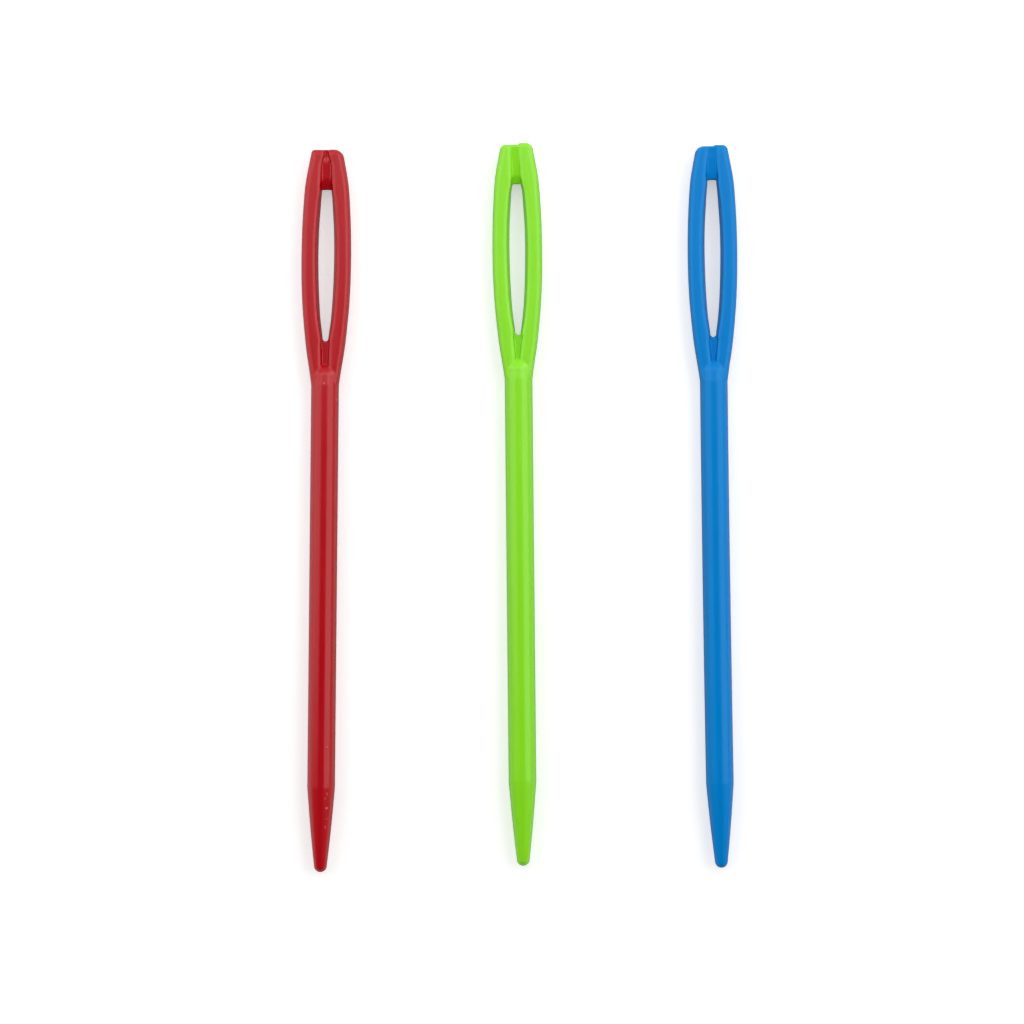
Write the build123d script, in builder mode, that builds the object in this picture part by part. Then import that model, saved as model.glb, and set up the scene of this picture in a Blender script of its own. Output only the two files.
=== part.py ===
from build123d import *
from math import acos, atan2, cos, hypot, radians, sin, tan
import os

# Large-eye plastic yarn needles, a set that lies side by side. Sizes in millimetres.
# The set lies on the ground plane Z = 0 with the heads towards +Y.
# Each needle has its own frame: X across, Y from point to head with 0 halfway,
# and Z up with 0 on the parting plane of its mould.

# Whole needle
needle_length = 90.0
shaft_diameter = 3.45
head_width = 6.2
head_thickness = 2.4

# Head, from its end: the bridge over the eye, the eye, and the web down to the neck
bridge_length = 5.3
eye_length = 18.6
web_length = 5.5
widest_share = 0.456
shoulder_from_end = 4.4
shoulder_inset = 0.4
shoulder_round = 9.0
end_inset = 1.2
neck_round = 0.8
neck_flare_length = 6.6
face_edge_round = 0.25

# Eye, with widths at the parting plane, where it is narrowest
eye_width = 1.95
eye_widest_share = 0.446
eye_top_width = 1.18
eye_top_round = 0.28
eye_bottom_width = 0.83
eye_wall_draft = 18.0
eye_bevel_depth = 0.22
eye_bevel_draft = 45.0

# Yarn channels in both faces, one from the eye to the head end and one from the eye to the neck
channel_depth = 0.55
channel_end_depth = 0.35
channel_floor_round = 0.15
channel_wall_draft = 16.0
channel_bevel_depth = 0.15
channel_bevel_draft = 45.0
lower_channel_from_neck = 2.35
lower_channel_depth = 0.42
lower_channel_width = 0.75
lower_channel_end_width = 0.5

# Shaft and point
nose_from_neck = 2.2
nose_length = 1.1
nose_taper = 0.05
point_length = 10.6
tip_radius = 0.8
point_bulge = 0.05

# Head end, where the left half stops a little short of the right half
step_from_middle = 0.3

# How far a cut runs past the face that it opens
overrun = 1.0

# What differs from one mould cavity to the next: where the needle lies and how far it is turned,
# the rounds of the head's two corners, how far the left half of the head end stops short,
# how far the eye runs on into the bridge, the widths of the upper channel's floor, and the length
# of the slope from that floor to the eye
cavities = {
    "red_needle": {
        "across": -24.39,
        "along": -0.4,
        "turn": -0.56,
        "left_corner": 0.3,
        "right_corner": 0.75,
        "left_short": 0.04,
        "eye_run_on": 0.24,
        "channel_width": 1.3,
        "channel_end_width": 0.7,
        "slope_length": 1.3,
    },
    "green_needle": {
        "across": 0.01,
        "along": 0.4,
        "turn": 0.56,
        "left_corner": 0.55,
        "right_corner": 0.7,
        "left_short": 0.2,
        "eye_run_on": 0.17,
        "channel_width": 1.0,
        "channel_end_width": 0.85,
        "slope_length": 1.1,
    },
    "blue_needle": {
        "across": 24.51,
        "along": 0.15,
        "turn": 0.79,
        "left_corner": 0.8,
        "right_corner": 0.5,
        "left_short": 0.12,
        "eye_run_on": 0.93,
        "channel_width": 1.2,
        "channel_end_width": 1.1,
        "slope_length": 0.6,
    },
}

# Stations along the needle and half sizes, worked out from the sizes above
shaft_radius = shaft_diameter / 2
nose_radius = shaft_radius - nose_taper
half_thickness = head_thickness / 2
half_shoulder = head_width / 2 - shoulder_inset
half_end = head_width / 2 - end_inset
head_length = bridge_length + eye_length + web_length
head_end = needle_length / 2
tip = -needle_length / 2
neck = head_end - head_length
widest = head_end - head_length * widest_share
shoulder = head_end - shoulder_from_end
eye_top = head_end - bridge_length
eye_bottom = eye_top - eye_length
eye_widest = eye_top - eye_length * eye_widest_share
lower_channel_end = neck + lower_channel_from_neck
nose_end = neck + nose_from_neck
nose_start = nose_end - nose_length
point_start = tip + point_length


def lie_of(cavity):
    """The needle's parting plane where it lies, with its origin halfway along the needle."""
    turn = radians(cavity["turn"])
    return Plane(
        origin=(cavity["across"], cavity["along"], shaft_radius),
        x_dir=(cos(turn), sin(turn), 0),
        z_dir=(0, 0, 1),
    )


def section_at(lie, along):
    """A plane square to the needle at a station, with its Y up."""
    return Plane(origin=lie.from_local_coords((0, along, 0)), x_dir=lie.x_dir, z_dir=-lie.y_dir)


def head_shape(cavity):
    """The head seen from above: long bowed flanks, shoulders, and a flat end with two corners."""
    with BuildSketch() as shape:
        with BuildLine():
            for side in (-1, 1):
                ThreePointArc(
                    (side * shaft_radius, neck),
                    (side * head_width / 2, widest),
                    (side * half_shoulder, shoulder),
                )
                Line((side * half_shoulder, shoulder), (side * half_end, head_end))
            Line((-half_end, head_end), (half_end, head_end))
            ThreePointArc((-shaft_radius, neck), (0, neck - neck_round), (shaft_radius, neck))
        make_face()
        fillet(shape.vertices().group_by(Axis.Y)[1], radius=shoulder_round)
        corners = shape.vertices().group_by(Axis.Y)[-1].sort_by(Axis.X)
        fillet(corners[-1], radius=cavity["right_corner"])
        corners = shape.vertices().group_by(Axis.Y)[-1].sort_by(Axis.X)
        fillet(corners[0], radius=cavity["left_corner"])
    return shape.sketch


def neck_shape():
    """Half of the round form that the neck is cut to: the shaft's width, flaring to clear the head."""
    flare_radius = hypot(head_width / 2, half_thickness)
    with BuildSketch() as shape:
        with BuildLine():
            Polyline(
                (0, neck - neck_round - overrun),
                (shaft_radius, neck - neck_round - overrun),
                (shaft_radius, neck),
                (flare_radius, neck + neck_flare_length),
                (flare_radius, head_end + overrun),
                (0, head_end + overrun),
                close=True,
            )
        make_face()
    return shape.sketch


def shaft_shape():
    """Half of the shaft's outline: a blunt tip, the point's slight bulge, the shaft and its nose."""
    tip_centre = tip + tip_radius
    along_point = point_start - tip_centre
    turn = atan2(shaft_radius, along_point) + acos(tip_radius / hypot(shaft_radius, along_point))
    tip_edge = (tip_radius * sin(turn), tip_centre + tip_radius * cos(turn))
    bulge_middle = (
        (tip_edge[0] + shaft_radius) / 2 + point_bulge,
        (tip_edge[1] + point_start) / 2,
    )
    half_turn = (radians(180) + turn) / 2
    tip_middle = (tip_radius * sin(half_turn), tip_centre + tip_radius * cos(half_turn))
    with BuildSketch() as shape:
        with BuildLine():
            ThreePointArc((0, tip), tip_middle, tip_edge)
            ThreePointArc(tip_edge, bulge_middle, (shaft_radius, point_start))
            Line((shaft_radius, point_start), (shaft_radius, neck))
            Line((shaft_radius, neck), (nose_radius, nose_start))
            EllipticalCenterArc((0, nose_start), nose_radius, nose_length, arc_size=90)
            Line((0, nose_end), (0, tip))
        make_face()
    return shape.sketch


def eye_shape(cavity):
    """The eye's outline at the parting plane: bowed sides, a blunt top and a round bottom."""
    top = eye_top + cavity["eye_run_on"]
    half_bottom = eye_bottom_width / 2
    bottom_sides = eye_bottom + half_bottom
    with BuildSketch() as shape:
        with BuildLine():
            for side in (-1, 1):
                ThreePointArc(
                    (side * half_bottom, bottom_sides),
                    (side * eye_width / 2, eye_widest),
                    (side * eye_top_width / 2, top),
                )
            ThreePointArc((-half_bottom, bottom_sides), (0, eye_bottom), (half_bottom, bottom_sides))
            Line((-eye_top_width / 2, top), (eye_top_width / 2, top))
        make_face()
        fillet(shape.vertices().group_by(Axis.Y)[-1], radius=eye_top_round)
    return shape.sketch


def eye_cutter(lie, cavity):
    """The eye through the head: it opens from the parting plane by its draft, then by a bevel."""
    wall_height = half_thickness - eye_bevel_depth
    with BuildPart() as cutter:
        with BuildSketch(lie):
            add(eye_shape(cavity))
        extrude(amount=wall_height, taper=-eye_wall_draft)
        with BuildSketch(lie.offset(wall_height)):
            add(eye_shape(cavity))
            offset(amount=wall_height * tan(radians(eye_wall_draft)))
        extrude(amount=eye_bevel_depth + overrun, taper=-eye_bevel_draft)
        mirror(about=lie)
    return cutter.part


def upper_channel_cutter(lie, cavity):
    """The yarn channels from the eye to the head end, which get shallower and narrower on the way."""
    stations = (
        (eye_top - overrun, channel_depth, cavity["channel_width"] / 2),
        (head_end + overrun, channel_end_depth, cavity["channel_end_width"] / 2),
    )
    with BuildPart() as cutter:
        for along, depth, half_floor in stations:
            floor = half_thickness - depth
            half_wall = half_floor + (depth - channel_bevel_depth) * tan(radians(channel_wall_draft))
            mouth_rise = channel_bevel_depth + overrun
            half_mouth = half_wall + mouth_rise * tan(radians(channel_bevel_draft))
            with BuildSketch(section_at(lie, along)) as section:
                with BuildLine():
                    Polyline(
                        (-half_floor, floor),
                        (half_floor, floor),
                        (half_wall, half_thickness - channel_bevel_depth),
                        (half_mouth, half_thickness + overrun),
                        (-half_mouth, half_thickness + overrun),
                        (-half_wall, half_thickness - channel_bevel_depth),
                        close=True,
                    )
                make_face()
                fillet(section.vertices().group_by(Axis.Y)[0], radius=channel_floor_round)
        loft(ruled=True)
        mirror(about=lie)
    return cutter.part


def slope_cutter(lie, cavity):
    """The slope that leads the yarn from the floor of the upper channel down into the eye."""
    top = eye_top + cavity["eye_run_on"]
    floor = half_thickness - channel_depth
    reach = cavity["slope_length"] * half_thickness / floor
    levels = (
        (0, top, eye_top_width / 2 - eye_top_round),
        (half_thickness, top + reach, cavity["channel_width"] / 2),
    )
    with BuildPart() as cutter:
        for height, far_end, half_wide in levels:
            with BuildSketch(lie.offset(height)):
                with BuildLine():
                    Polyline(
                        (-half_wide, eye_top - overrun),
                        (half_wide, eye_top - overrun),
                        (half_wide, far_end),
                        (-half_wide, far_end),
                        close=True,
                    )
                make_face()
        loft(ruled=True)
        mirror(about=lie)
    return cutter.part


def lower_channel_shape():
    """The floor of the short channel towards the neck: it narrows to a rounded end."""
    half_wide = lower_channel_width / 2
    half_narrow = lower_channel_end_width / 2
    end_sides = lower_channel_end + half_narrow
    with BuildSketch() as shape:
        with BuildLine():
            for side in (-1, 1):
                Line((side * half_wide, eye_bottom + overrun), (side * half_narrow, end_sides))
            Line((-half_wide, eye_bottom + overrun), (half_wide, eye_bottom + overrun))
            ThreePointArc((-half_narrow, end_sides), (0, lower_channel_end), (half_narrow, end_sides))
        make_face()
    return shape.sketch


def lower_channel_cutter(lie):
    """The short yarn channels from the eye towards the neck, with drafted walls and a bevel."""
    wall_height = lower_channel_depth - channel_bevel_depth
    with BuildPart() as cutter:
        with BuildSketch(lie.offset(half_thickness - lower_channel_depth)):
            add(lower_channel_shape())
        extrude(amount=wall_height, taper=-channel_wall_draft)
        with BuildSketch(lie.offset(half_thickness - channel_bevel_depth)):
            add(lower_channel_shape())
            offset(amount=wall_height * tan(radians(channel_wall_draft)))
        extrude(amount=channel_bevel_depth + overrun, taper=-channel_bevel_draft)
        mirror(about=lie)
    return cutter.part


def step_cutter(lie, cavity):
    """The strip by which the left half of the head end stops short."""
    outside = -half_end - overrun
    with BuildPart() as cutter:
        with BuildSketch(lie):
            with BuildLine():
                Polyline(
                    (outside, head_end - cavity["left_short"]),
                    (step_from_middle, head_end - cavity["left_short"]),
                    (step_from_middle, head_end + overrun),
                    (outside, head_end + overrun),
                    close=True,
                )
            make_face()
        extrude(amount=half_thickness + overrun, both=True)
    return cutter.part


def mould_needle(name, cavity):
    """One needle, moulded in one piece and laid in its place."""
    lie = lie_of(cavity)
    with BuildPart() as needle:
        with BuildSketch(lie):
            add(head_shape(cavity))
        extrude(amount=half_thickness, both=True)
        fillet(needle.faces().filter_by(Axis.Z).edges(), radius=face_edge_round)
        with BuildSketch(lie):
            add(neck_shape())
        revolve(axis=Axis(lie.origin, lie.y_dir), mode=Mode.INTERSECT)
        add(eye_cutter(lie, cavity), mode=Mode.SUBTRACT)
        add(upper_channel_cutter(lie, cavity), mode=Mode.SUBTRACT)
        add(slope_cutter(lie, cavity), mode=Mode.SUBTRACT)
        add(lower_channel_cutter(lie), mode=Mode.SUBTRACT)
        add(step_cutter(lie, cavity), mode=Mode.SUBTRACT)
        with BuildSketch(lie):
            add(shaft_shape())
        revolve(axis=Axis(lie.origin, lie.y_dir))
    needle.part.label = name
    return needle


os.makedirs("parts", exist_ok=True)
for name, cavity in cavities.items():
    needle = mould_needle(name, cavity)
    export_step(needle.part, f"parts/{name}.step")
    print(name, "volume", round(needle.part.volume, 1), "box", needle.part.bounding_box())
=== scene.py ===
from math import acos, atan2, cos, hypot, pi, radians, sin, tan

import bmesh
import bpy
import numpy as np
from bpy.props import EnumProperty, FloatProperty, FloatVectorProperty, PointerProperty
from bpy.types import Operator, Panel, PropertyGroup
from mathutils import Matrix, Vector


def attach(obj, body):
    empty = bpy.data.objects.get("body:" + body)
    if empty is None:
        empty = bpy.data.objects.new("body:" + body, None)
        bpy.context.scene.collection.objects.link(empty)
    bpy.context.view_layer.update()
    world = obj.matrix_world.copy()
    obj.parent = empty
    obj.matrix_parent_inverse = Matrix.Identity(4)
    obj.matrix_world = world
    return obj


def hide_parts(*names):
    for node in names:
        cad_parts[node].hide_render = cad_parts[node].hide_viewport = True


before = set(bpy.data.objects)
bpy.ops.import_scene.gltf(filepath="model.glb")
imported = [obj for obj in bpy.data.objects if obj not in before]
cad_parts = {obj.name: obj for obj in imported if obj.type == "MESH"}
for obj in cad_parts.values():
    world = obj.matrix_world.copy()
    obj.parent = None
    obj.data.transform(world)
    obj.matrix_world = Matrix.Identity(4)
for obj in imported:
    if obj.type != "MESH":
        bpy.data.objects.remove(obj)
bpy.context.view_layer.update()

# Three plastic yarn needles that lie side by side. A needle is one closed skin, worked out in
# millimetres in its own frame: X across, Y from point to head with 0 halfway, and Z up with 0 on
# the parting plane of its mould. Upper and lower halves are alike.

bl_info = {
    "name": "Yarn Needles",
    "version": (1, 0, 0),
    "blender": (4, 5, 0),
    "location": "View3D > Sidebar > Needles",
    "description": "Large-eye plastic yarn needles, moulded around their packed solids",
    "category": "Mesh",
}

MM = 0.001
CAVITIES = ("red", "green", "blue")


# Settings

def length(name, description, default):
    """A length setting, with its default given in millimetres."""
    return FloatProperty(
        name=name, description=description, default=default * MM, unit="LENGTH", precision=5
    )


def angle(name, description, default):
    """An angle setting, with its default given in degrees."""
    return FloatProperty(
        name=name, description=description, default=radians(default), subtype="ANGLE"
    )


def share(name, description, default):
    """A setting from 0 to 1."""
    return FloatProperty(
        name=name, description=description, default=default, min=0, max=1, subtype="FACTOR"
    )


def colour(name, description, default):
    """A colour setting in linear light."""
    return FloatVectorProperty(
        name=name, description=description, default=default, min=0, max=1, size=3, subtype="COLOR"
    )


class NeedleSizes(PropertyGroup):
    """Sizes that all three needles share."""

    needle_length: length("Needle length", "From the tip to the head end", 90)
    shaft_diameter: length("Shaft diameter", "Across the round shaft", 3.45)
    head_width: length("Head width", "Across the head at its widest", 6.2)
    head_thickness: length("Head thickness", "Through the flat head", 2.4)
    bridge_length: length("Bridge length", "From the head end to the eye", 5.3)
    eye_length: length("Eye length", "Along the eye at the parting plane", 18.6)
    web_length: length("Web length", "From the eye to the neck", 5.5)
    eye_width: length("Eye width", "Across the eye at its widest, at the parting plane", 1.95)
    eye_bevel: length("Eye bevel", "Depth of the soft bevel round the eye", 0.16)
    channel_depth: length("Channel depth", "Depth of the upper yarn channel at the eye", 0.55)
    channel_bevel: length("Channel bevel", "Depth of the soft bevel along the yarn channels", 0.15)
    lower_channel_depth: length("Lower channel depth", "Depth of the channel towards the neck", 0.52)
    lower_channel_fall: length("Lower channel fall", "How much deeper it is at the neck", 0.06)
    bevel_angle: angle("Bevel angle", "How steep the soft bevels are", 23)
    edge_round: length("Edge round", "Radius of the head's outer edges", 0.62)
    wall_draft: angle("Wall draft", "Draft of the head's outer walls", 6)
    crown: length("Crown", "How far the rails drop at their edges", 0.025)
    flare_length: length("Neck flare", "Along the cone by which the neck opens", 6.6)
    nose_from_neck: length("Nose end", "From the neck to the end of the shaft's nose", 2.65)
    nose_length: length("Nose length", "Along the rounded end of the nose", 1.7)
    nose_taper: length("Nose taper", "How much slimmer the nose is than the shaft", 0.1)
    point_length: length("Point length", "From the tip to the full shaft", 10.6)
    point_bulge: length("Point bulge", "How far the point's sides bow out", 0.05)
    tip_radius: length("Tip radius", "Radius of the blunt tip", 0.8)
    seam_width: length("Seam width", "How far the mould seam stands out", 0.015)
    seam_height: length("Seam height", "Half the height of the mould seam", 0.05)


class RedNeedle(PropertyGroup):
    """Where the red needle lies and what its mould cavity gave it."""

    across: length("Across", "Place from left to right", -24.39)
    along: length("Along", "Place from bottom to top", -0.4)
    turn: angle("Turn", "How far it is turned", -0.56)
    bow: length("Bow", "How far its middle bows to the left", 0)
    left_corner: length("Left corner", "Radius of the head's left corner", 0.35)
    right_corner: length("Right corner", "Radius of the head's right corner", 1.0)
    left_short: length("Left half short", "How far the left half of the head end stops short", 0.05)
    eye_run_on: length("Eye run-on", "How far the eye runs on into the bridge", 0.24)
    end_rise: length("End rise", "How much shallower the channel is at the head end", 0.33)
    slope_length: length("Slope length", "Along the slope from the channel down into the eye", 1.3)
    slope_angle: angle("Slope angle", "How steep that slope is", 22)
    gate_depth: length("Gate mark depth", "Depth of the gate mark near the head end", 0.13)
    colour: colour("Colour", "Colour of the plastic", (0.480, 0.001, 0.007))
    # The plastic's lighter tone, also the colour of the painted highlight on faces that lean sideways
    light_and_highlight_colour: colour("Light colour", "Colour where the plastic is lightest", (0.56, 0.003, 0.010))
    gloss: share("Gloss", "How strong the gloss is", 0.43)


class GreenNeedle(PropertyGroup):
    """Where the green needle lies and what its mould cavity gave it."""

    across: length("Across", "Place from left to right", 0.01)
    along: length("Along", "Place from bottom to top", 0.4)
    turn: angle("Turn", "How far it is turned", 0.56)
    bow: length("Bow", "How far its middle bows to the left", 0)
    left_corner: length("Left corner", "Radius of the head's left corner", 0.6)
    right_corner: length("Right corner", "Radius of the head's right corner", 0.7)
    left_short: length("Left half short", "How far the left half of the head end stops short", 0.2)
    eye_run_on: length("Eye run-on", "How far the eye runs on into the bridge", 0.17)
    end_rise: length("End rise", "How much shallower the channel is at the head end", 0.46)
    slope_length: length("Slope length", "Along the slope from the channel down into the eye", 1.1)
    slope_angle: angle("Slope angle", "How steep that slope is", 22)
    gate_depth: length("Gate mark depth", "Depth of the gate mark near the head end", 0)
    colour: colour("Colour", "Colour of the plastic", (0.272, 0.830, 0.014))
    # The plastic's lighter tone, also the colour of the painted highlight on faces that lean sideways
    light_and_highlight_colour: colour("Light colour", "Colour where the plastic is lightest", (0.305, 0.880, 0.018))
    gloss: share("Gloss", "How strong the gloss is", 0.45)


class BlueNeedle(PropertyGroup):
    """Where the blue needle lies and what its mould cavity gave it."""

    across: length("Across", "Place from left to right", 24.51)
    along: length("Along", "Place from bottom to top", 0.15)
    turn: angle("Turn", "How far it is turned", 0.79)
    bow: length("Bow", "How far its middle bows to the left", 0.15)
    left_corner: length("Left corner", "Radius of the head's left corner", 0.9)
    right_corner: length("Right corner", "Radius of the head's right corner", 0.55)
    left_short: length("Left half short", "How far the left half of the head end stops short", 0.13)
    eye_run_on: length("Eye run-on", "How far the eye runs on into the bridge", 0.93)
    end_rise: length("End rise", "How much shallower the channel is at the head end", 0.40)
    slope_length: length("Slope length", "Along the slope from the channel down into the eye", 0.6)
    slope_angle: angle("Slope angle", "How steep that slope is", 13)
    gate_depth: length("Gate mark depth", "Depth of the gate mark near the head end", 0.03)
    colour: colour("Colour", "Colour of the plastic", (0.000, 0.225, 0.655))
    # The plastic's lighter tone, also the colour of the painted highlight on faces that lean sideways
    light_and_highlight_colour: colour("Light colour", "Colour where the plastic is lightest", (0.000, 0.268, 0.750))
    gloss: share("Gloss", "How strong the gloss is", 0.16)


class StageSettings(PropertyGroup):
    """Camera, table and the light of the room."""

    view_width: length("View width", "Width of the picture at the needles", 127.5)
    view_across: length("View across", "The picture's middle, from left to right", -0.96)
    view_along: length("View along", "The picture's middle, from bottom to top", -0.55)
    camera_height: length("Camera height", "Height of the camera above the needles", 450)
    floor_colour: colour("Floor colour", "Colour of the table", (0.78, 0.78, 0.78))
    floor_glow: share("Floor glow", "Light that the eye sees from the floor itself", 0.48)
    ceiling_light: share("Ceiling light", "Even light from above", 0.08)
    horizon_light: share("Horizon light", "Light from low down all round", 0.35)


class NeedleSet(PropertyGroup):
    """All settings of the set."""

    sizes: PointerProperty(type=NeedleSizes)
    red: PointerProperty(type=RedNeedle)
    green: PointerProperty(type=GreenNeedle)
    blue: PointerProperty(type=BlueNeedle)
    stage: PointerProperty(type=StageSettings)


# Outlines as tables, read off
# The head's flank: share of the way from the neck to the head end, share of half the head's width
FLANK = np.array((
    (0.0, 0.5565), (0.044, 0.613), (0.150, 0.768), (0.255, 0.877), (0.362, 0.956), (0.473, 0.993),
    (0.544, 0.998), (0.643, 0.9855), (0.743, 0.945), (0.827, 0.892), (0.861, 0.854), (0.934, 0.731),
    (1.0, 0.6145),
))
# The eye's side: share of the way from its bottom to its top, share of half its width
EYE_SIDE = np.array((
    (0.0, 0.31), (0.043, 0.41), (0.145, 0.655), (0.274, 0.835), (0.43, 0.955), (0.58, 1.0),
    (0.72, 0.955), (0.88, 0.785), (0.946, 0.705), (1.0, 0.615), (1.05, 0.49),
))
# The drafted wall's reach across: share of the way up the eye, millimetres
EYE_WALL = np.array(((0.0, 0.19), (0.2, 0.30), (0.55, 0.34), (0.86, 0.32), (1.0, 0.22)))
# Edges of the upper channel in millimetres: past the head end, left edge, right edge
UPPER_EDGES = {
    "red": np.array((
        (-4.9, 0.84, 0.76), (-3.4, 0.80, 0.72), (-1.9, 0.68, 0.60), (-0.7, 0.43, 0.30), (0, 0.38, 0.28),
    )),
    "green": np.array((
        (-4.9, 0.70, 0.62), (-3.7, 0.72, 0.52), (-2.3, 0.73, 0.42), (-1.0, 0.72, 0.30), (0, 0.70, 0.28),
    )),
    "blue": np.array((
        (-4.4, 0.84, 0.80), (-3.2, 0.76, 0.70), (-2.2, 0.69, 0.60), (-1.1, 0.52, 0.62), (0, 0.46, 0.66),
    )),
}
# Edges of the lower channel in millimetres: from the eye's bottom, left edge, right edge
LOWER_EDGES = {
    "red": np.array(((0.3, 0.60, 0.56), (1.5, 0.57, 0.52), (2.8, 0.53, 0.49))),
    "green": np.array(((0.3, 0.62, 0.54), (1.5, 0.55, 0.42), (2.8, 0.44, 0.26))),
    "blue": np.array(((0.3, 0.62, 0.57), (1.5, 0.54, 0.48), (2.8, 0.40, 0.36))),
}


# Curves and blends on whole arrays

def smooth_step(start, end, value):
    """0 before start, 1 after end, and in between the cubic 3 s squared minus 2 s cubed."""
    s = np.clip((value - start) / (end - start), 0, 1)
    return s * s * (3 - 2 * s)


def soft_min(first, second, reach):
    """The smaller of two, rounded off where they differ by less than the reach."""
    s = np.clip(0.5 + 0.5 * (second - first) / reach, 0, 1)
    return second + (first - second) * s - reach * s * (1 - s)


def soft_max(first, second, reach):
    """The larger of two, rounded off where they differ by less than the reach."""
    return -soft_min(-first, -second, reach)


def curve_through(at, stations, values):
    """Cubic pieces through the given points. The slope at a point is the harmonic mean of the slopes
    of the chords beside it, or 0 where they differ in sign, so that the curve never overshoots."""
    steps = np.diff(stations)
    chords = np.diff(values) / steps
    before, after = chords[:-1], chords[1:]
    same = before * after > 0
    mean = np.where(same, 2 * before * after / np.where(same, before + after, 1), 0)
    slopes = np.concatenate((chords[:1], mean, chords[-1:]))
    at = np.clip(at, stations[0], stations[-1])
    k = np.clip(np.searchsorted(stations, at) - 1, 0, len(steps) - 1)
    s = (at - stations[k]) / steps[k]
    rest = 1 - s
    return (
        values[k] * (1 + 2 * s) * rest**2
        + values[k + 1] * (3 - 2 * s) * s**2
        + steps[k] * (slopes[k] * s * rest**2 - slopes[k + 1] * s**2 * rest)
    )


# How often a span is halved to find a crossing in it
HALVINGS = 48


def crossing(measure, low, high):
    """Halves the span between low and high until measure, above 0 at low and below 0 at high, is 0."""
    low, high = np.array(low, float), np.array(high, float)
    for _ in range(HALVINGS):
        middle = (low + high) / 2
        inside = measure(middle) > 0
        low, high = np.where(inside, middle, low), np.where(inside, high, middle)
    return (low + high) / 2


def eased(start, end, count, start_pace=1.0, end_pace=1.0):
    """Stations from start to end. Their steps are in proportion to a pace that goes from the start's
    to the end's, with up to 1 minus the smaller of the two added in the middle."""
    t = np.linspace(0, 1, count)
    pace = start_pace + (end_pace - start_pace) * t
    pace = pace + 4 * t * (1 - t) * (1 - min(start_pace, end_pace))
    way = np.concatenate(([0], np.cumsum((pace[1:] + pace[:-1]) / 2)))
    return start + (end - start) * way / way[-1]


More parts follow.
